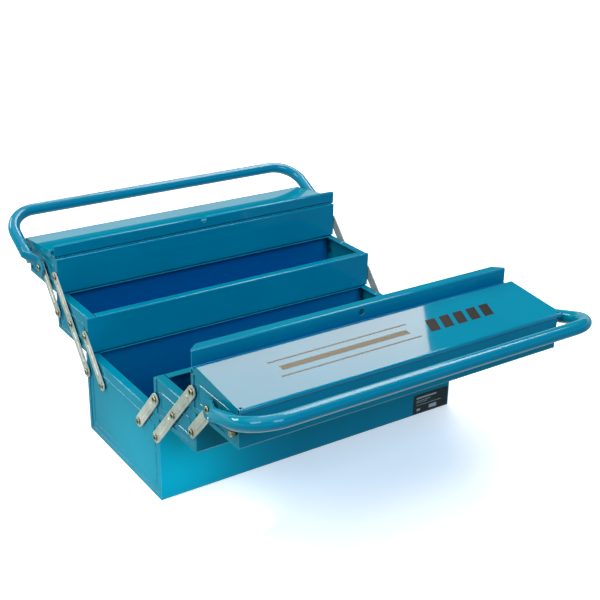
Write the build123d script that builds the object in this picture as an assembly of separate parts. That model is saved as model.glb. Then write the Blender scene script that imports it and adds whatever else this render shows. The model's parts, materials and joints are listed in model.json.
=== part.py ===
from build123d import *
from math import atan2, degrees, hypot
import os

# Five-tray cantilever toolbox, shown fully open. Millimetres, +Z up, X along the length.
# The origin is the centre of the base's underside. The front wing lies towards -Y, the rear wing towards +Y.
# Everything is drawn for the rear wing and the right end, then mirrored. "u" is the distance from the mid-plane.

# Driving dimensions
SHEET = 1.0              # thickness of the painted sheet steel
BEND = 1.5               # radius of a fold, at mid-thickness
HALF_LENGTH = 218.0      # half the length of the base and of every tray
BASE_HALF_WIDTH = 100.0
BASE_HEIGHT = 109.5
TRAY_HEIGHT = 49.0
STACK_GAP = 0.4          # between a tray's floor and the rim that it rests over
RIM = 11.0               # width of the inward flange round each tray
HEM = 5.5                # width of the folded seam over each end plate
RELIEF = 1.5             # notch between two flanges at a corner
FIT = 0.15               # an end plate inside its trough
MID_INNER, MID_OUTER = 90.5, 188.0
TOP_INNER, TOP_OUTER = 179.0, 276.5
TOP_OUTER_DROP = 5.5     # the upper tray's outer wall is lower than its inner wall
EMBOSS_INSET, EMBOSS_WIDTH, EMBOSS_CORNER = 12.5, 2.6, 6.0
EMBOSS_RISE, EMBOSS_BEVEL = 0.8, 0.6

# Linkage: equal parallel links, so that every tray stays level
LINK_REACH = 44.0        # how far one link carries a tray outwards from its pivot
PIVOT_BELOW_RIM = 25.5
PIVOT_A, PIVOT_B = 52.0, 95.5    # short and long link on the base
PIVOT_C = 182.0                  # short upper link on the mid tray
LINK_WIDTH, LINK_THICK = 14.0, 1.5
LINK_STANDOFF = 1.0              # from the seam's face to the link
LINK_GAP = 0.3                   # axial play each side of a link or handle
BEAD_WIDTH, BEAD_MARGIN = 5.6, 11.5      # between two joints
BEAD_RISE, BEAD_ROUND = 1.1, 1.0
PIP_RADIUS, PIP_RISE, PIP_FROM_PIVOT = 1.0, 0.5, 8.0

# Tubular rivets
SHANK_RADIUS, RUNNING_PLAY = 2.5, 0.05
HEAD_RADIUS, HEAD_HEIGHT, HEAD_ROUND = 4.2, 1.7, 1.1
SHOULDER_RADIUS, TAIL_RADIUS, TAIL_HEIGHT = 5.0, 3.4, 1.2
RIVET_HOLE_RADIUS, RIVET_HOLE_DEPTH = 1.9, 5.0
STUD_RADIUS, STUD_REACH = 3.5, 7.0
STUD_OUT, STUD_DOWN = 44.0, 6.0  # from the handle's pivot

# Handles
GRIP_RADIUS = 8.0
HANDLE_ARM = 105.0               # pivot to the grip's centreline
HANDLE_HALF_SPAN = 231.5
HANDLE_BEND = 39.0
HANDLE_CLEAR = 4.0               # from the end seam to the flattened end
FLAT_THICK, FLAT_WIDTH, FLAT_END = 2.8, 22.0, 11.0
FLAT_ROUND, FLAT_CORNER = 1.1, 4.0
FLAT_LENGTH, ROUND_FROM = 9.0, 27.0
HANDLE_ANGLE = {"front": 16.0, "rear": 27.0}   # above the horizontal, outwards

# Lids
LID_HALF_LENGTH = 220.0
LID_RIDGE_U, LID_RIDGE_RISE = 194.2, 8.3       # top edge of the slope, above the tray's rim
LEDGE_GAP = 0.5
LID_SKIRT = 10.0
HINGE_U, HINGE_BELOW_RIM = 279.3, 4.4
KNUCKLE_OUTER, KNUCKLE_INNER, ROD_RADIUS = 2.6, 1.6, 1.5
EAR_LENGTH, EAR_GAP = 2.5, 0.4   # the tray's knuckle at each end of the lid's long one

# Closing strips along the lids' inner edges
STRIP_HALF_LENGTH = 219.0
STRIP_U = 182.0
STRIP_FOOT = 9.0
STRIP_RISE = {"front": 21.7, "rear": 17.2}     # above the tray's rim
STRIP_LIP = {"front": -12.0, "rear": 4.0}      # minus is towards the other wing
PADLOCK_RADIUS, PADLOCK_ABOVE_RIM = 4.0, 13.7

LABEL_X, LABEL_Z = (157.0, 216.0), (2.0, 30.5)
LABEL_THICK, LABEL_CORNER = 0.4, 2.5

# Levels and pivots that follow
LINK_RISE = TRAY_HEIGHT + STACK_GAP
MID_FLOOR = BASE_HEIGHT + STACK_GAP
MID_RIM = MID_FLOOR + TRAY_HEIGHT
TOP_FLOOR = MID_RIM + STACK_GAP
TOP_RIM = TOP_FLOOR + TRAY_HEIGHT
PIVOT_Z = BASE_HEIGHT - PIVOT_BELOW_RIM
BASE_A, BASE_B = (PIVOT_A, PIVOT_Z), (PIVOT_B, PIVOT_Z)
MID_A = (PIVOT_A + LINK_REACH, PIVOT_Z + LINK_RISE)
MID_B = (PIVOT_B + LINK_REACH, PIVOT_Z + LINK_RISE)
MID_C = (PIVOT_C, PIVOT_Z + LINK_RISE)
TOP_B = (PIVOT_B + 2 * LINK_REACH, PIVOT_Z + 2 * LINK_RISE)
TOP_C = (PIVOT_C + LINK_REACH, PIVOT_Z + 2 * LINK_RISE)
PLATE_FACE = HALF_LENGTH - SHEET
LINK_INNER = HALF_LENGTH + LINK_STANDOFF
LINK_OUTER = LINK_INNER + LINK_THICK
FLAT_INNER = HALF_LENGTH + HANDLE_CLEAR
FLAT_OUTER = FLAT_INNER + FLAT_THICK
HINGE_Z = TOP_RIM - HINGE_BELOW_RIM
LEDGE_TOP = TOP_RIM + LEDGE_GAP + SHEET
LINK_ANGLE = degrees(atan2(LINK_RISE, LINK_REACH))

WINGS = ("front", "rear")
ENDS = ("left", "right")
os.makedirs("parts", exist_ok=True)


def along_x(sketch, x0, x1):
    """A section drawn in (u, z), extruded along X."""
    return extrude(Plane.YZ.offset(x0) * sketch, amount=x1 - x0)


def rod(centre, radius, x0, x1):
    return along_x(Pos(*centre) * Circle(radius), x0, x1)


def block(x, u, z):
    """A box between pairs of limits."""
    size = [limits[1] - limits[0] for limits in (x, u, z)]
    middle = [(limits[0] + limits[1]) / 2 for limits in (x, u, z)]
    return Pos(*middle) * Box(*size)


def folded(points, x0, x1):
    """Sheet folded along points at mid-thickness, extruded along X."""
    return along_x(trace(FilletPolyline(*points, radius=BEND), line_width=SHEET), x0, x1)


def outline(*points):
    return make_face(Polyline(*points, close=True))


def both_ends(shape):
    return shape + mirror(shape, about=Plane.YZ)


def to_side(shape, wing="rear", end="right"):
    if wing == "front":
        shape = mirror(shape, about=Plane.XZ)
    if end == "left":
        shape = mirror(shape, about=Plane.YZ)
    return shape


def save(name, *shapes):
    solids = [solid for shape in shapes for solid in shape.solids()]
    export_step(solids[0] if len(solids) == 1 else Compound(children=solids), f"parts/{name}.step")


def trough(inner, outer, floor, rim_inner, rim_outer):
    """Floor, two long walls with inward rims, and the seams folded over the end plates."""
    half = SHEET / 2
    path = [
        (inner + RIM, rim_inner - half),
        (inner + half, rim_inner - half),
        (inner + half, floor + half),
        (outer - half, floor + half),
        (outer - half, rim_outer - half),
        (outer - RIM, rim_outer - half),
    ]
    body = folded(path, -HALF_LENGTH, HALF_LENGTH)
    rim = max(rim_inner, rim_outer)
    notch_start = PLATE_FACE - RIM - RELIEF
    notch_z = (rim_outer - 2 * BEND, rim)
    notch = block((notch_start, HALF_LENGTH), (inner + SHEET, outer - SHEET), notch_z)
    seam = block((PLATE_FACE, HALF_LENGTH), (inner, outer), (floor, rim_outer - half))
    seam -= block((PLATE_FACE, HALF_LENGTH), (inner + HEM, outer - HEM), (floor + HEM, rim))
    seam = fillet(seam.edges().filter_by(Axis.X).group_by(Axis.Z)[0], BEND)
    return body - both_ends(notch) + both_ends(seam)


def end_plate(inner, outer, floor, rim_inner, rim_outer, flat_to, pivots):
    """A right-hand end plate with its rim and embossed frame, drilled for its rivets."""
    low, high, bottom = inner + SHEET + FIT, outer - SHEET - FIT, floor + SHEET
    top = [(low, rim_inner), (flat_to, rim_inner), (high, rim_outer)]
    under = [(u, z - SHEET) for u, z in reversed(top)]
    plate = along_x(outline((low, bottom), *top, (high, bottom)), PLATE_FACE - SHEET, PLATE_FACE)
    corners = plate.edges().filter_by(Axis.X).group_by(Axis.Z)[0]
    plate = fillet(corners, BEND)
    plate += along_x(outline(*top, *under), PLATE_FACE - RIM, PLATE_FACE)
    fold = plate.edges().group_by(Axis.X)[-1]
    fold = fold.filter_by_position(Axis.Z, rim_outer - SHEET, rim_inner + SHEET)
    plate = fillet(fold, BEND)
    frame_size = (outer - inner - 2 * EMBOSS_INSET, rim_inner - floor - 2 * EMBOSS_INSET)
    centre = Pos((inner + outer) / 2, (rim_inner + floor) / 2)
    ring = RectangleRounded(*frame_size, EMBOSS_CORNER)
    ring -= RectangleRounded(
        *[side - 2 * EMBOSS_WIDTH for side in frame_size], EMBOSS_CORNER - EMBOSS_WIDTH
    )
    emboss = along_x(centre * ring, PLATE_FACE, PLATE_FACE + EMBOSS_RISE)
    plate += chamfer(emboss.faces().sort_by(Axis.X)[-1].edges(), EMBOSS_BEVEL)
    for pivot in pivots:
        plate -= rod(pivot, SHANK_RADIUS, PLATE_FACE - RIM, HALF_LENGTH)
    return plate


def drilled(body, pivots):
    """The seams of a trough, drilled where a rivet passes through them."""
    for pivot in pivots:
        body -= both_ends(rod(pivot, SHANK_RADIUS, PLATE_FACE, HALF_LENGTH))
    return body


def rivet(pivot, grip_outer, seat):
    """A shouldered tubular rivet: tail inside the end plate, head outside the link or handle."""
    inside = PLATE_FACE - SHEET
    head_start = grip_outer + LINK_GAP
    head_end = head_start + HEAD_HEIGHT
    head = rod(pivot, HEAD_RADIUS, head_start, head_end)
    head = fillet(head.edges().sort_by(Axis.X)[-1], HEAD_ROUND)
    body = rod(pivot, SHANK_RADIUS, inside, head_start) + head
    body += rod(pivot, TAIL_RADIUS, inside - TAIL_HEIGHT, inside)
    body += rod(pivot, SHOULDER_RADIUS, seat, LINK_INNER - LINK_GAP)
    return body - rod(pivot, RIVET_HOLE_RADIUS, head_end - RIVET_HOLE_DEPTH, head_end)


def link(start, joints):
    """A pressed strip from start, leaning outwards, with a raised bead between its joints."""
    pitch = hypot(LINK_REACH, LINK_RISE)
    length = pitch * (joints - 1)
    lie = Pos(*start) * Rot(0, 0, LINK_ANGLE)
    strip = along_x(
        lie * Pos(length / 2, 0) * SlotCenterToCenter(length, LINK_WIDTH), LINK_INNER, LINK_OUTER
    )
    for step in range(joints):
        at = lie * Pos(step * pitch, 0)
        hole = at * Circle(SHANK_RADIUS + RUNNING_PLAY)
        strip -= along_x(hole, LINK_INNER, LINK_OUTER)
    for step in range(joints - 1):
        middle = lie * Pos(step * pitch + pitch / 2, 0)
        bead = along_x(
            middle * SlotOverall(pitch - 2 * BEAD_MARGIN, BEAD_WIDTH),
            LINK_OUTER, LINK_OUTER + BEAD_RISE,
        )
        strip += fillet(bead.faces().sort_by(Axis.X)[-1].edges(), BEAD_ROUND)
        for along in (PIP_FROM_PIVOT, pitch - PIP_FROM_PIVOT):
            pip = along_x(
                lie * Pos(step * pitch + along, 0) * Circle(PIP_RADIUS),
                LINK_OUTER, LINK_OUTER + PIP_RISE,
            )
            strip += pip
    return strip


def handle(wing):
    """Bent tube with flattened, drilled ends. It is drawn flat, then turned up about its pivots."""
    route = FilletPolyline(
        (-HANDLE_HALF_SPAN, ROUND_FROM), (-HANDLE_HALF_SPAN, HANDLE_ARM),
        (HANDLE_HALF_SPAN, HANDLE_ARM), (HANDLE_HALF_SPAN, ROUND_FROM),
        radius=HANDLE_BEND,
    )
    start = Plane(origin=(-HANDLE_HALF_SPAN, ROUND_FROM, 0), x_dir=(1, 0, 0), z_dir=(0, 1, 0))
    grip = sweep(start * Circle(GRIP_RADIUS), path=route)
    flat_x = (FLAT_INNER + FLAT_OUTER) / 2
    flat_plane = Plane(origin=(flat_x, FLAT_LENGTH, 0), x_dir=(1, 0, 0), z_dir=(0, 1, 0))
    round_plane = Plane(
        origin=(HANDLE_HALF_SPAN, ROUND_FROM, 0), x_dir=(1, 0, 0), z_dir=(0, 1, 0)
    )
    flat_section = RectangleRounded(FLAT_THICK, FLAT_WIDTH, FLAT_ROUND)
    neck = loft([flat_plane * flat_section, round_plane * Circle(GRIP_RADIUS)])
    paddle_face = Pos((FLAT_LENGTH - FLAT_END) / 2, 0) * Rectangle(FLAT_LENGTH + FLAT_END, FLAT_WIDTH)
    paddle_face = fillet(paddle_face.vertices().group_by(Axis.X)[0], FLAT_CORNER)
    paddle_face -= Circle(SHANK_RADIUS + RUNNING_PLAY)
    paddle = along_x(paddle_face, FLAT_INNER, FLAT_OUTER)
    body = grip + both_ends(neck + paddle)
    turned = Rot(HANDLE_ANGLE[wing], 0, 0) * body
    return Pos(0, *TOP_C) * turned


def lid():
    """Sloping panel, end skirts, a step down to the ledge, and the rolled hinge knuckle."""
    half = SHEET / 2
    ridge = (LID_RIDGE_U - half, TOP_RIM + LID_RIDGE_RISE - half)
    knuckle_top = (HINGE_U, HINGE_Z + KNUCKLE_OUTER - half)
    path = [
        knuckle_top, ridge, (ridge[0], LEDGE_TOP - half), (STRIP_U - half, LEDGE_TOP - half)
    ]
    panel = folded(path, -LID_HALF_LENGTH, LID_HALF_LENGTH)
    panel += rod((HINGE_U, HINGE_Z), KNUCKLE_OUTER, -LID_HALF_LENGTH, LID_HALF_LENGTH)
    skirt = lid_skirt(ridge, knuckle_top)
    panel += both_ends(along_x(skirt, LID_HALF_LENGTH - SHEET, LID_HALF_LENGTH))
    clear_of_ear = block(
        (HALF_LENGTH - EAR_LENGTH - EAR_GAP, HALF_LENGTH + EAR_GAP),
        (HINGE_U - KNUCKLE_OUTER - EAR_GAP, HINGE_U + KNUCKLE_OUTER),
        (HINGE_Z - LID_SKIRT, HINGE_Z + LID_SKIRT),
    )
    corner = block(
        (STRIP_HALF_LENGTH, LID_HALF_LENGTH), (STRIP_U - SHEET, LID_RIDGE_U - BEND),
        (TOP_RIM - LID_SKIRT, LEDGE_TOP),
    )
    panel -= both_ends(clear_of_ear + corner)
    return panel - rod((HINGE_U, HINGE_Z), KNUCKLE_INNER, -LID_HALF_LENGTH, LID_HALF_LENGTH)


def lid_skirt(ridge, knuckle_top):
    """The end skirt's outline, from the ridge to just short of the knuckle."""
    stop_u = knuckle_top[0] - KNUCKLE_OUTER
    return outline(
        ridge, (stop_u, knuckle_top[1]),
        (stop_u, knuckle_top[1] - LID_SKIRT), (ridge[0], ridge[1] - LID_SKIRT),
    )


def hinge_ear():
    """A knuckle at the right end of the upper tray's outer wall, tied to it by a short tab."""
    span = (HALF_LENGTH - EAR_LENGTH, HALF_LENGTH)
    ear = rod((HINGE_U, HINGE_Z), KNUCKLE_OUTER, *span)
    tab = (HINGE_Z - KNUCKLE_OUTER, HINGE_Z - KNUCKLE_INNER)
    ear += block(span, (TOP_OUTER - SHEET / 2, HINGE_U), tab)
    return ear - rod((HINGE_U, HINGE_Z), KNUCKLE_INNER, *span)


def closing_strip(wing):
    """Angle strip welded on the lid's ledge; the front one is taller and takes the padlock."""
    half = SHEET / 2
    web_u = STRIP_U + half
    top = TOP_RIM + STRIP_RISE[wing] - half
    foot = LEDGE_TOP + half
    lip_end = web_u + STRIP_LIP[wing]
    path = [(web_u + STRIP_FOOT, foot), (web_u, foot), (web_u, top), (lip_end, top)]
    strip = folded(path, -STRIP_HALF_LENGTH, STRIP_HALF_LENGTH)
    eye_z = TOP_RIM + PADLOCK_ABOVE_RIM
    face = Plane(origin=(0, STRIP_U + 2 * SHEET, eye_z), x_dir=(1, 0, 0), z_dir=(0, -1, 0))
    strip -= extrude(face * Circle(PADLOCK_RADIUS), amount=STRIP_FOOT)
    if wing == "rear":
        strip -= block(
            (-PADLOCK_RADIUS, PADLOCK_RADIUS), (STRIP_U - SHEET, lip_end + SHEET),
            (eye_z, top + SHEET),
        )
    wedge = outline(
        (STRIP_HALF_LENGTH - abs(STRIP_LIP[wing]), lip_end), (STRIP_HALF_LENGTH, lip_end),
        (STRIP_HALF_LENGTH, STRIP_U + 2 * SHEET if wing == "rear" else STRIP_U - SHEET),
    )
    trim = extrude(Plane.XY.offset(top - SHEET) * wedge, amount=2 * SHEET)
    return strip - both_ends(trim)


def label():
    centre = (sum(LABEL_X) / 2, sum(LABEL_Z) / 2)
    size = (LABEL_X[1] - LABEL_X[0], LABEL_Z[1] - LABEL_Z[0])
    face = Plane(origin=(centre[0], -BASE_HALF_WIDTH, centre[1]), x_dir=(1, 0, 0), z_dir=(0, -1, 0))
    return extrude(face * RectangleRounded(*size, LABEL_CORNER), amount=LABEL_THICK)


# Base
base_levels = (0.0, BASE_HEIGHT, BASE_HEIGHT)
base_pivots = [BASE_A, BASE_B, (-PIVOT_A, PIVOT_Z), (-PIVOT_B, PIVOT_Z)]
base_body = trough(-BASE_HALF_WIDTH, BASE_HALF_WIDTH, *base_levels)
save("base_body", drilled(base_body, base_pivots))
base_end = end_plate(-BASE_HALF_WIDTH, BASE_HALF_WIDTH, *base_levels, 0.0, base_pivots)
save("base_label", label())

# Trays, hinge rods and lids
mid_levels = (MID_FLOOR, MID_RIM, MID_RIM)
mid_pivots = [MID_A, MID_B, MID_C]
mid_tray = drilled(trough(MID_INNER, MID_OUTER, *mid_levels), mid_pivots)
mid_end = end_plate(MID_INNER, MID_OUTER, *mid_levels, (MID_INNER + MID_OUTER) / 2, mid_pivots)
top_levels = (TOP_FLOOR, TOP_RIM, TOP_RIM - TOP_OUTER_DROP)
top_pivots = [TOP_B, TOP_C]
stop = (TOP_C[0] + STUD_OUT, TOP_C[1] - STUD_DOWN)
top_tray = drilled(trough(TOP_INNER, TOP_OUTER, *top_levels), top_pivots + [stop])
top_tray += both_ends(hinge_ear())
top_end = end_plate(TOP_INNER, TOP_OUTER, *top_levels, LID_RIDGE_U, top_pivots + [stop])
hinge_rod = rod((HINGE_U, HINGE_Z), ROD_RADIUS, -HALF_LENGTH, HALF_LENGTH)
lid_panel = lid()

# Pivot rivets and handle stops
base_rivets = [rivet(BASE_A, LINK_OUTER, PLATE_FACE), rivet(BASE_B, LINK_OUTER, HALF_LENGTH)]
mid_rivets = [rivet(pivot, LINK_OUTER, HALF_LENGTH) for pivot in (MID_A, MID_C)]
mid_rivets.append(rivet(MID_B, LINK_OUTER, PLATE_FACE))
top_rivet = rivet(TOP_B, LINK_OUTER, HALF_LENGTH)
handle_rivet = rivet(TOP_C, FLAT_OUTER, PLATE_FACE)
stud = rod(stop, STUD_RADIUS, HALF_LENGTH, HALF_LENGTH + STUD_REACH)
stud = fillet(stud.edges().sort_by(Axis.X)[-1], HEAD_ROUND)
stud += rod(stop, SHANK_RADIUS, PLATE_FACE - SHEET - TAIL_HEIGHT, HALF_LENGTH)

# Links
lower_link = link(BASE_A, 2)
long_link = link(BASE_B, 3)
upper_link = link(MID_C, 2)

every_corner = [(wing, end) for wing in WINGS for end in ENDS]
save("base_rivets", *[to_side(item, *corner) for item in base_rivets for corner in every_corner])
for end in ENDS:
    save(f"base_end_{end}", to_side(base_end, end=end))
for wing in WINGS:
    save(f"{wing}_mid_tray", to_side(mid_tray, wing))
    save(f"{wing}_upper_tray", to_side(top_tray, wing))
    save(f"{wing}_hinge_rod", to_side(hinge_rod, wing))
    save(f"{wing}_lid", to_side(lid_panel, wing))
    save(f"{wing}_closing_strip", to_side(closing_strip(wing), wing))
    save(f"{wing}_handle", to_side(handle(wing), wing))
    save(f"{wing}_mid_rivets", *[to_side(item, wing, end) for item in mid_rivets for end in ENDS])
    save(f"{wing}_upper_rivets", *[to_side(top_rivet, wing, end) for end in ENDS])
    save(f"{wing}_handle_rivets", *[to_side(handle_rivet, wing, end) for end in ENDS])
    save(f"{wing}_handle_stops", *[to_side(stud, wing, end) for end in ENDS])
    for end in ENDS:
        save(f"{wing}_mid_end_{end}", to_side(mid_end, wing, end))
        save(f"{wing}_upper_end_{end}", to_side(top_end, wing, end))
        save(f"{wing}_lower_link_{end}", to_side(lower_link, wing, end))
        save(f"{wing}_long_link_{end}", to_side(long_link, wing, end))
        save(f"{wing}_upper_link_{end}", to_side(upper_link, wing, end))
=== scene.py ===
import json
import math

import bpy
from mathutils import Matrix, Vector


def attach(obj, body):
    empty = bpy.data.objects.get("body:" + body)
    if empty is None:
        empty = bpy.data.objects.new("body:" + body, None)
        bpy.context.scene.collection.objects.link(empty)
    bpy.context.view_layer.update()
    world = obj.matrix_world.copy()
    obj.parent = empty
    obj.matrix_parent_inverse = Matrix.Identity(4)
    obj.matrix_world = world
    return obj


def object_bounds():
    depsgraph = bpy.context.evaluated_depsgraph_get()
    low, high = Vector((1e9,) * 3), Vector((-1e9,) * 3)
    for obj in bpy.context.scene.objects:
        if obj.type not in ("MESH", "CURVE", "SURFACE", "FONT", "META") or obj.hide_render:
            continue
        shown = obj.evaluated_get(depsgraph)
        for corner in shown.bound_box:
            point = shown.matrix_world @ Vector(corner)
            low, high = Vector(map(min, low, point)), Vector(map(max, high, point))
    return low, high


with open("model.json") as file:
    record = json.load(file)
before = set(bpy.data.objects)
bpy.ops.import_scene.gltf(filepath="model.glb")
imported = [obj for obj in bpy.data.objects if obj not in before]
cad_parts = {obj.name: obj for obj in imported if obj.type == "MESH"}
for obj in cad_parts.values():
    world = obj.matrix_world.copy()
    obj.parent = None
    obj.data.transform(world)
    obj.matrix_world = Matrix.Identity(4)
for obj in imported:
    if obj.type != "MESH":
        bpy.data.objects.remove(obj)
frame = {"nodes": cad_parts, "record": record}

CAD_LOW, CAD_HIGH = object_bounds()
MM = 0.001


# ---------------------------------------------------------------- materials

SHADOW_SAMPLES, EDGE_SAMPLES = 6, 4
TRAY_SHADE_REACH, GAP_REACH, HOLLOW_REACH = 240, 6, 6      # how far the shading looks round, millimetres
MIX_SHARE, MIX_FIRST, MIX_SECOND, MIX_RESULT = 0, 6, 7, 2      # the colour sockets of a mix node
WHITE = "FFFFFF"


def linear(hex_code):
    """sRGB hex to the linear colour that the shaders work in."""
    channels = [int(hex_code[i:i + 2], 16) / 255 for i in (0, 2, 4)]
    return [c / 12.92 if c <= 0.04045 else ((c + 0.055) / 1.055) ** 2.4 for c in channels] + [1.0]


def add(tree, kind, settings=None, links=None):
    """Adds a node with its settings. A link is (node, output) or a plain value for that input."""
    node = tree.nodes.new(kind)
    for name, value in (settings or {}).items():
        setattr(node, name, value)
    for socket, source in (links or {}).items():
        if isinstance(source, tuple) and hasattr(source[0], "outputs"):
            tree.links.new(source[0].outputs[source[1]], node.inputs[socket])
        else:
            node.inputs[socket].default_value = source
    return node


def start_material(name):
    material = bpy.data.materials.new(name)
    material.use_nodes = True
    tree = material.node_tree
    tree.nodes.clear()
    where = add(tree, "ShaderNodeTexCoord")
    return material, tree, where


def noise(tree, where, size_mm, detail=2.0, roughness=0.5):
    """Noise whose features are about size_mm across."""
    return add(tree, "ShaderNodeTexNoise", links={
        "Vector": (where, "Object"), "Scale": 1 / (size_mm * MM),
        "Detail": detail, "Roughness": roughness})


def ramp(tree, source, stops):
    """A colour ramp through (position, colour) stops."""
    node = add(tree, "ShaderNodeValToRGB", links={"Fac": source})
    elements = node.color_ramp.elements
    elements[0].position, elements[0].color = stops[0][0], stops[0][1]
    elements[1].position, elements[1].color = stops[-1][0], stops[-1][1]
    for position, colour in stops[1:-1]:
        elements.new(position).color = colour
    return node


def grey(value):
    return (value, value, value, 1.0)


def blend(tree, share, first, second):
    """A colour between first and second. Each is a colour or a (node, output) pair."""
    return add(tree, "ShaderNodeMix", {"data_type": "RGBA"}, {
        MIX_SHARE: share, MIX_FIRST: first, MIX_SECOND: second})


def openness(tree, reach_mm, only_local=False):
    """White in the open, dark where surfaces close in within reach_mm."""
    return add(tree, "ShaderNodeAmbientOcclusion", {
        "samples": SHADOW_SAMPLES, "only_local": only_local}, {"Distance": reach_mm * MM})


def spread(tree, source, low, high):
    """Maps 0..1 to low..high."""
    return add(tree, "ShaderNodeMapRange", links={"Value": source, "To Min": low, "To Max": high})


def bump(tree, height, depth_mm, normal=None, strength=1.0):
    links = {"Height": height, "Distance": depth_mm * MM, "Strength": strength}
    if normal:
        links["Normal"] = (normal, "Normal")
    return add(tree, "ShaderNodeBump", links=links)


def finish_material(material, tree, settings, links):
    shader = add(tree, "ShaderNodeBsdfPrincipled", links={**settings, **links})
    add(tree, "ShaderNodeOutputMaterial", links={"Surface": (shader, "BSDF")})
    return material


def edge_mask(tree, radius_mm):
    """White along sharp edges, from the difference between the bevelled and the flat normal."""
    soft = add(tree, "ShaderNodeBevel", {"samples": EDGE_SAMPLES}, {"Radius": radius_mm * MM})
    flat = add(tree, "ShaderNodeNewGeometry")
    dot = add(tree, "ShaderNodeVectorMath", {"operation": "DOT_PRODUCT"}, {
        0: (soft, "Normal"), 1: (flat, "Normal")})
    return add(tree, "ShaderNodeMapRange", links={
        "Value": (dot, "Value"), "From Min": 0.99, "From Max": 0.75})


def gloss_enamel():
    """Stoved gloss enamel sprayed on folded sheet steel.

    Deep teal under a hard wet shine. A fine orange peel breaks up the highlights, the sheet's own
    slow waves bend the reflections. A painted shade turns the colour a darker, bluer teal inside
    the trays and in the narrow gaps between pieces. Along the folds and edges runs a paler line
    that is partly chipped wear and partly a painted highlight.
    """
    material, tree, where = start_material("gloss_enamel_on_sheet_steel")
    drift = noise(tree, where, 90, 3.0)
    colour = ramp(tree, (drift, "Fac"), [(0.3, linear("007F96")), (0.7, linear("00859C"))])
    # Painted shade: the colour turns a darker, bluer teal where the trays close round it.
    tray_shade_openness = openness(tree, TRAY_SHADE_REACH, only_local=True)
    clear = add(tree, "ShaderNodeMapRange", links={
        "Value": (tray_shade_openness, "AO"), "From Min": 0.3, "From Max": 0.95})
    tray_painted_shade = blend(tree, (clear, "Result"), linear("005692"), (colour, "Color"))
    # Painted shade: the colour darkens in the narrow gaps between pieces.
    gap_openness = openness(tree, GAP_REACH)
    gap_shade_share = add(tree, "ShaderNodeMapRange", links={
        "Value": (gap_openness, "AO"), "From Min": 0.62, "From Max": 0.25, "To Max": 0.7})
    painted_shade_colour = blend(tree, (gap_shade_share, "Result"), (tray_painted_shade, MIX_RESULT), linear("002C46"))
    # Partly chipped wear, partly a painted highlight: a paler line along the folds and edges.
    edge = edge_mask(tree, 1.0)
    nicks = noise(tree, where, 2.2, 4.0, 0.7)
    broken = ramp(tree, (nicks, "Fac"), [(0.42, grey(0.25)), (0.62, grey(1.0))])
    worn_and_highlit = add(tree, "ShaderNodeMath", {"operation": "MULTIPLY"}, {
        0: (edge, "Result"), 1: (broken, "Color")})
    wear_and_highlight_share = add(tree, "ShaderNodeMath", {"operation": "MULTIPLY"}, {0: (worn_and_highlit, "Value"), 1: 0.75})
    paint = blend(tree, (wear_and_highlight_share, "Value"), (painted_shade_colour, MIX_RESULT), linear("62BECE"))
    handling = noise(tree, where, 35, 5.0, 0.65)
    rough = spread(tree, (handling, "Fac"), 0.20, 0.34)
    waves = noise(tree, where, 70, 1.0)
    peel = noise(tree, where, 1.6, 1.5)
    slow = bump(tree, (waves, "Fac"), 0.2, strength=0.35)
    fine = bump(tree, (peel, "Fac"), 0.012, slow, 0.6)
    return finish_material(material, tree, {
        "Metallic": 0.0, "IOR": 1.5, "Specular IOR Level": 0.0,
        "Coat Weight": 1.0, "Coat Roughness": 0.035, "Coat IOR": 1.34,
    }, {
        "Base Color": (paint, MIX_RESULT), "Roughness": (rough, "Result"),
        "Normal": (fine, "Normal"), "Coat Normal": (slow, "Normal")})


def zinc_plate():
    """Bright zinc electroplate on pressed steel strip.

    A soft white shine under a thin milky chromate film that scatters half of the light, with
    faint rolling lines along the sheet, duller patches, and paler edges that are partly rub wear
    and partly a painted highlight.
    """
    material, tree, where = start_material("bright_zinc_plate_on_steel_strip")
    cloud = noise(tree, where, 12, 4.0, 0.6)
    colour = ramp(tree, (cloud, "Fac"), [
        (0.35, linear("C2BCA8")), (0.55, linear("D6D0BE")), (0.75, linear("E2DDCE"))])
    # Partly rub wear, partly a painted highlight: paler along the sharp edges.
    edge = edge_mask(tree, 0.5)
    worn_and_highlit = blend(tree, (edge, "Result"), (colour, "Color"), linear("E6E4DA"))
    rough = spread(tree, (cloud, "Fac"), 0.42, 0.26)
    stretched = add(tree, "ShaderNodeMapping", links={
        "Vector": (where, "Object"), "Scale": (1.0, 0.12, 1.0)})
    lines = add(tree, "ShaderNodeTexNoise", links={
        "Vector": (stretched, "Vector"), "Scale": 1 / (0.5 * MM), "Detail": 2.0})
    relief = bump(tree, (lines, "Fac"), 0.012, strength=0.4)
    return finish_material(material, tree, {"Metallic": 0.45}, {
        "Base Color": (worn_and_highlit, MIX_RESULT), "Roughness": (rough, "Result"),
        "Normal": (relief, "Normal")})


def yellow_zinc():
    """Yellow-passivated tubular rivets.

    Pale straw-coloured metal on the rolled rim, with a painted shade that turns it dark brown down
    in the hollow.
    """
    material, tree, where = start_material("yellow_passivated_steel_rivet")
    cloud = noise(tree, where, 1.8, 3.0, 0.6)
    film = ramp(tree, (cloud, "Fac"), [
        (0.30, linear("A88F66")), (0.52, linear("CDBB90")), (0.78, linear("E9E0C6"))])
    # Painted shade: dark brown down in the rivet's hollow.
    hollow = openness(tree, HOLLOW_REACH)
    clear = add(tree, "ShaderNodeMapRange", links={
        "Value": (hollow, "AO"), "From Min": 0.45, "From Max": 0.9})
    colour = blend(tree, (clear, "Result"), linear("2A1D10"), (film, "Color"))
    rough = spread(tree, (cloud, "Fac"), 0.34, 0.18)
    relief = bump(tree, (cloud, "Fac"), 0.02, strength=0.4)
    return finish_material(material, tree, {"Metallic": 1.0}, {
        "Base Color": (colour, MIX_RESULT), "Roughness": (rough, "Result"),
        "Normal": (relief, "Normal")})


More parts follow.
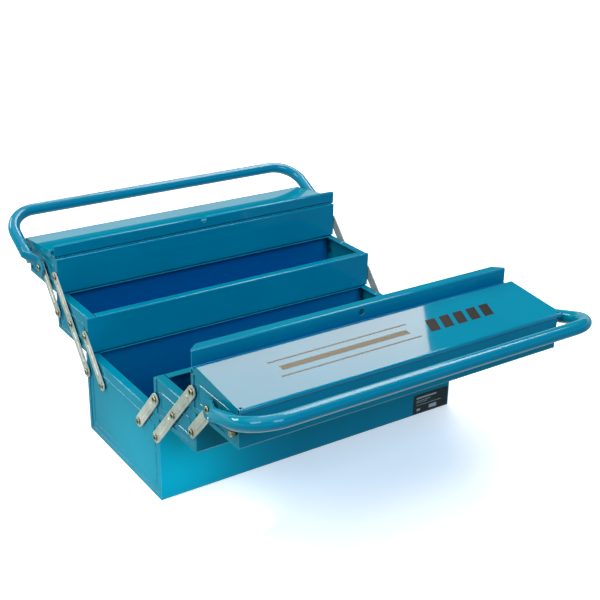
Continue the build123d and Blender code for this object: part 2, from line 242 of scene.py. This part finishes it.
def drawn_wire():
    """Drawn steel wire: plain grey metal with fine rings left by the die."""
    material, tree, where = start_material("drawn_steel_wire")
    rings = add(tree, "ShaderNodeTexWave", {"bands_direction": "X"}, {
        "Vector": (where, "Object"), "Scale": 1 / (1.2 * MM), "Distortion": 3.0, "Detail": 2.0})
    colour = ramp(tree, (rings, "Fac"), [(0.2, linear("8A8C8C")), (0.9, linear("B4B6B5"))])
    rough = spread(tree, (rings, "Fac"), 0.30, 0.42)
    return finish_material(material, tree, {"Metallic": 1.0}, {
        "Base Color": (colour, "Color"), "Roughness": (rough, "Result")})


def label_film():
    """Black polypropylene label film: satin, with a little dust-grey mottling."""
    material, tree, where = start_material("satin_black_label_film")
    mottle = noise(tree, where, 3.0, 4.0, 0.7)
    colour = ramp(tree, (mottle, "Fac"), [(0.35, linear("1D1D1A")), (0.75, linear("33332E"))])
    rough = spread(tree, (mottle, "Fac"), 0.42, 0.55)
    relief = bump(tree, (mottle, "Fac"), 0.01, strength=0.3)
    return finish_material(material, tree, {"Metallic": 0.0, "IOR": 1.49}, {
        "Base Color": (colour, "Color"), "Roughness": (rough, "Result"),
        "Normal": (relief, "Normal")})


def print_ink(name, dark, pale):
    """Screen-printed enamel ink: flat, half matt, mottled by the weave of the screen."""
    material, tree, where = start_material(name)
    weave = noise(tree, where, 0.9, 2.0)
    colour = ramp(tree, (weave, "Fac"), [(0.3, linear(dark)), (0.7, linear(pale))])
    rough = spread(tree, (weave, "Fac"), 0.30, 0.42)
    relief = bump(tree, (weave, "Fac"), 0.008, strength=0.3)
    return finish_material(material, tree, {
        "Metallic": 0.0, "IOR": 1.45, "Specular IOR Level": 0.08}, {
        "Base Color": (colour, "Color"), "Roughness": (rough, "Result"),
        "Normal": (relief, "Normal")})


def floor_paper():
    """Seamless white studio paper: matt, with the faintest tooth."""
    material, tree, where = start_material("white_studio_paper")
    tooth = noise(tree, where, 4.0, 2.0)
    colour = ramp(tree, (tooth, "Fac"), [(0.3, linear("F6F6F5")), (0.7, linear("FAFAFA"))])
    relief = bump(tree, (tooth, "Fac"), 0.05, strength=0.1)
    return finish_material(material, tree, {
        "Metallic": 0.0, "Roughness": 0.9, "Emission Strength": 0.42}, {
        "Emission Color": (colour, "Color"),
        "Base Color": (colour, "Color"), "Normal": (relief, "Normal")})


# ---------------------------------------------------------------- CAD nodes

WELD_REACH, EDGE_ROUND = 0.002, 0.25     # millimetres
EDGE_ANGLE = math.radians(40)


def dress_frame(materials):
    """Gives every CAD node its material by its slot, and a fine rounding on its sharp edges."""
    slots = {item["node"]: item["material_slot"] for item in frame["record"]["subparts"]}
    for name, node in frame["nodes"].items():
        node.data.materials.clear()
        node.data.materials.append(materials[slots[name]])
        weld = node.modifiers.new("weld", "WELD")
        weld.merge_threshold = WELD_REACH * MM
        bevel = node.modifiers.new("bevel", "BEVEL")
        bevel.width = EDGE_ROUND * MM
        bevel.segments = 2
        bevel.limit_method = "ANGLE"
        bevel.angle_limit = EDGE_ANGLE
        bevel.harden_normals = True


# ---------------------------------------------------------------- plain printed marks

# Millimetres. u is the distance from the mid-plane. Each bar is (x0, x1, v0, v1, slant), where v is
# measured up the lid's slope from its hinge edge, or up the label from the base's underside.
LID_FOOT_U, LID_FOOT_Z = 279.36, 206.5
LID_SLOPE = math.radians(6.73)
LABEL_FACE = 100.4
INK_HEIGHT = 0.10
LID_STRIPES = [(-150, 34, 30, 32, 0), (-150, 34, 58, 60, 0), (-142, 26, 41, 49, 0)]
BLACK_BAR_COUNT, BLACK_BAR_START, BLACK_BAR_PITCH, BLACK_BAR_WIDTH = 5, 50, 20, 14
BLACK_BAR_FOOT, BLACK_BAR_TOP, BLACK_BAR_SLANT = 33, 56, 9
LABEL_LINES = [
    (162, 196, 24.0, 26.5, 0), (162, 186, 20.6, 21.5, 0), (162, 181, 18.2, 19.0, 0),
    (162, 205, 14.2, 14.9, 0), (184, 197, 5.5, 11.0, 0), (163, 169, 6.0, 9.5, 0),
]


def on_front_lid(x, up):
    """A point on the front lid's slope, up millimetres from its hinge edge."""
    u = LID_FOOT_U - up * math.cos(LID_SLOPE) + INK_HEIGHT * math.sin(LID_SLOPE)
    z = LID_FOOT_Z + up * math.sin(LID_SLOPE) + INK_HEIGHT * math.cos(LID_SLOPE)
    return (x * MM, -u * MM, z * MM)


def on_label(x, z):
    """A point on the face of the base's label."""
    return (x * MM, -(LABEL_FACE + INK_HEIGHT) * MM, z * MM)


def printed_bars(name, body, place, bars, ink):
    """Flat bars of ink as one piece that rides the body."""
    points, faces = [], []
    for x0, x1, v0, v1, slant in bars:
        start = len(points)
        corners = ((x0, v0), (x1, v0), (x1 + slant, v1), (x0 + slant, v1))
        points += [place(x, v) for x, v in corners]
        faces.append(tuple(range(start, start + len(corners))))
    mesh = bpy.data.meshes.new(name)
    mesh.from_pydata(points, [], faces)
    mesh.materials.append(ink)
    bars_object = bpy.data.objects.new(name, mesh)
    bpy.context.scene.collection.objects.link(bars_object)
    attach(bars_object, body)


def print_lid():
    """Bronze pinstripes round a plain bronze bar, and a group of slanted black bars."""
    bronze = print_ink("bronze_screen_print_ink", "6E6450", "82775F")
    black = print_ink("black_screen_print_ink", "060708", "101213")
    printed_bars("front_lid_pinstripes", "front_lid", on_front_lid, LID_STRIPES, bronze)
    starts = [BLACK_BAR_START + step * BLACK_BAR_PITCH for step in range(BLACK_BAR_COUNT)]
    slanted = [
        (x, x + BLACK_BAR_WIDTH, BLACK_BAR_FOOT, BLACK_BAR_TOP, BLACK_BAR_SLANT) for x in starts
    ]
    printed_bars("front_lid_black_bars", "front_lid", on_front_lid, slanted, black)


def print_label():
    """A few plain pale bars on the label."""
    pale = print_ink("pale_label_ink", "A9AAA2", "C6C7BE")
    printed_bars("base_label_bars", "base", on_label, LABEL_LINES, pale)


# ---------------------------------------------------------------- studio

# Metres, degrees and watts.
VIEW_AZIMUTH, VIEW_ELEVATION, VIEW_ROLL = -34.16, 23.56, 1.065
VIEW_DISTANCE = 1.44
VIEW_TARGET = Vector((0.0365, -0.0040, 0.1619))
VIEW_LENS, SENSOR_WIDTH = 66.9, 36.0
VIEW_NEAR, VIEW_FAR = 0.05, 60.0
CARD_HEIGHT, CARD_TILT, CARD_SPREAD = 0.02, -6, 100
FLOOR_HALF, FLOOR_GAP = 14.0, 0.0002
SURROUND_STRENGTH = 1.3
SURROUND_LEVELS = [      # from 0 straight down to 1 straight up
    (0.0, grey(1.0)), (0.10, grey(0.9)), (0.18, linear("82ACB6")), (0.48, linear("82ACB6")),
    (0.53, linear("B0C6CC")), (0.60, grey(0.9)), (0.65, grey(0.06)), (0.82, grey(0.08)),
    (0.92, grey(1.0)), (1.0, grey(1.0)),
]


def turn(azimuth, elevation, roll=0.0):
    """A rotation that looks along +Y at azimuth 0, from elevation degrees above."""
    a, e, r = (math.radians(v) for v in (azimuth, elevation, roll))
    back = Vector((math.sin(a) * math.cos(e), -math.cos(a) * math.cos(e), math.sin(e)))
    level = Vector((math.cos(a), math.sin(a), 0))
    rise = back.cross(level)
    right = level * math.cos(r) + rise * math.sin(r)
    return Matrix((right, back.cross(right), back)).transposed(), back


def placed(point, rotation):
    return Matrix.Translation(point) @ rotation.to_4x4()


def make_camera():
    data = bpy.data.cameras.new("camera")
    data.lens, data.sensor_width = VIEW_LENS, SENSOR_WIDTH
    data.clip_start, data.clip_end = VIEW_NEAR, VIEW_FAR
    camera = bpy.data.objects.new("camera", data)
    rotation, back = turn(VIEW_AZIMUTH, VIEW_ELEVATION, VIEW_ROLL)
    camera.matrix_world = placed(VIEW_TARGET + back * VIEW_DISTANCE, rotation)
    bpy.context.scene.collection.objects.link(camera)
    bpy.context.scene.camera = camera


def lamp(name, kind, energy, colour, place):
    """A lamp at the given placing, hidden from the camera itself."""
    data = bpy.data.lights.new(name, kind)
    data.energy, data.color = energy, linear(colour)[:3]
    light = bpy.data.objects.new(name, data)
    light.matrix_world = place
    light.visible_camera = False
    bpy.context.scene.collection.objects.link(light)
    return light


def soft_light(name, direction, distance, width, height, power, colour=WHITE):
    """A rectangular softbox that faces the object from (azimuth, elevation, roll)."""
    rotation, back = turn(*direction)
    light = lamp(name, "AREA", power, colour, placed(VIEW_TARGET + back * distance, rotation))
    light.data.shape, light.data.size, light.data.size_y = "RECTANGLE", width, height
    return light


def low_card(name, point, azimuth, length, power):
    """A small bounce card on the table, which lights the foot of the base only."""
    card = lamp(name, "AREA", power, WHITE, placed(Vector(point), turn(azimuth, CARD_TILT)[0]))
    card.data.shape, card.data.size, card.data.size_y = "RECTANGLE", length, CARD_HEIGHT
    card.data.spread = math.radians(CARD_SPREAD)
    card.visible_glossy = False


def soft_sun(name, azimuth, elevation, strength, spread_angle, colour):
    """A broad, very distant lamp: the same light over the whole floor, with blurred shadows."""
    rotation = turn(azimuth, elevation)[0]
    sun = lamp(name, "SUN", strength, colour, placed(Vector(), rotation))
    sun.data.angle = math.radians(spread_angle)


def make_world():
    """Studio surround: dim teal below, pale at the horizon, a dim band above it, a bright ceiling.

    It is dimmer in front of the object than behind it, and plain white straight to the camera.
    """
    world = bpy.data.worlds.new("studio")
    world.use_nodes = True
    tree = world.node_tree
    where = add(tree, "ShaderNodeTexCoord")
    direction = add(tree, "ShaderNodeSeparateXYZ", links={"Vector": (where, "Generated")})
    share = add(tree, "ShaderNodeMapRange", links={"Value": (direction, "Z"), "From Min": -1.0})
    sky = ramp(tree, (share, "Result"), SURROUND_LEVELS)
    depth = add(tree, "ShaderNodeMapRange", links={
        "Value": (direction, "Y"), "From Min": -0.5, "From Max": 0.1, "To Min": 0.42})
    dimmed = add(tree, "ShaderNodeVectorMath", {"operation": "SCALE"}, {
        "Vector": (sky, "Color"), "Scale": (depth, "Result")})
    rays = add(tree, "ShaderNodeLightPath")
    seen = blend(tree, (rays, "Is Camera Ray"), (dimmed, "Vector"), grey(1.0))
    backdrop = tree.nodes["Background"]
    tree.links.new(seen.outputs[MIX_RESULT], backdrop.inputs["Color"])
    backdrop.inputs["Strength"].default_value = SURROUND_STRENGTH
    bpy.context.scene.world = world


def make_floor(paper):
    """A wide sheet of paper, kept out of the paint's reflections and bounced light."""
    half = FLOOR_HALF
    corners = [(-half, -half, 0), (half, -half, 0), (half, half, 0), (-half, half, 0)]
    floor = bpy.data.meshes.new("studio_floor")
    floor.from_pydata(corners, [], [tuple(range(len(corners)))])
    floor.materials.append(paper)
    sheet = bpy.data.objects.new("studio_floor", floor)
    sheet.location.z = CAD_LOW.z - FLOOR_GAP
    bpy.context.scene.collection.objects.link(sheet)
    sheet.visible_glossy = False
    sheet.visible_diffuse = False


def make_studio():
    """The lamps: one mirrored in the front lid, one along the tubes, one along the folds."""
    soft_light("lid_panel", (148.8, 38, 13), 6.0, 3.0, 1.6, 112, "FFE3D2")
    streak = soft_light("streak_panel", (110, 57), 4.0, 2.4, 1.6, 130)
    streak.visible_diffuse = False
    soft_light("fold_light", (-150, 29), 4.0, 1.6, 0.9, 60)
    low_card("front_card", (-0.222, -0.22, 0.02), -6, 0.17, 0.08)
    low_card("end_card", (-0.36, -0.04, 0.02), -90, 0.14, 0.045)
    soft_sun("key_left_above", -80, 42, 1.2, 26, "FFF8EE")
    soft_sun("front_fill", -8, 38, 2.0, 26, "A6D0FF")
    make_world()
    bpy.context.scene.view_settings.view_transform = "Standard"


make_camera()
dress_frame({
    "blue_enamel": gloss_enamel(), "zinc_link": zinc_plate(), "brass_rivet": yellow_zinc(),
    "steel_rod": drawn_wire(), "label_film": label_film(),
})
print_lid()
print_label()
make_floor(floor_paper())
make_studio()
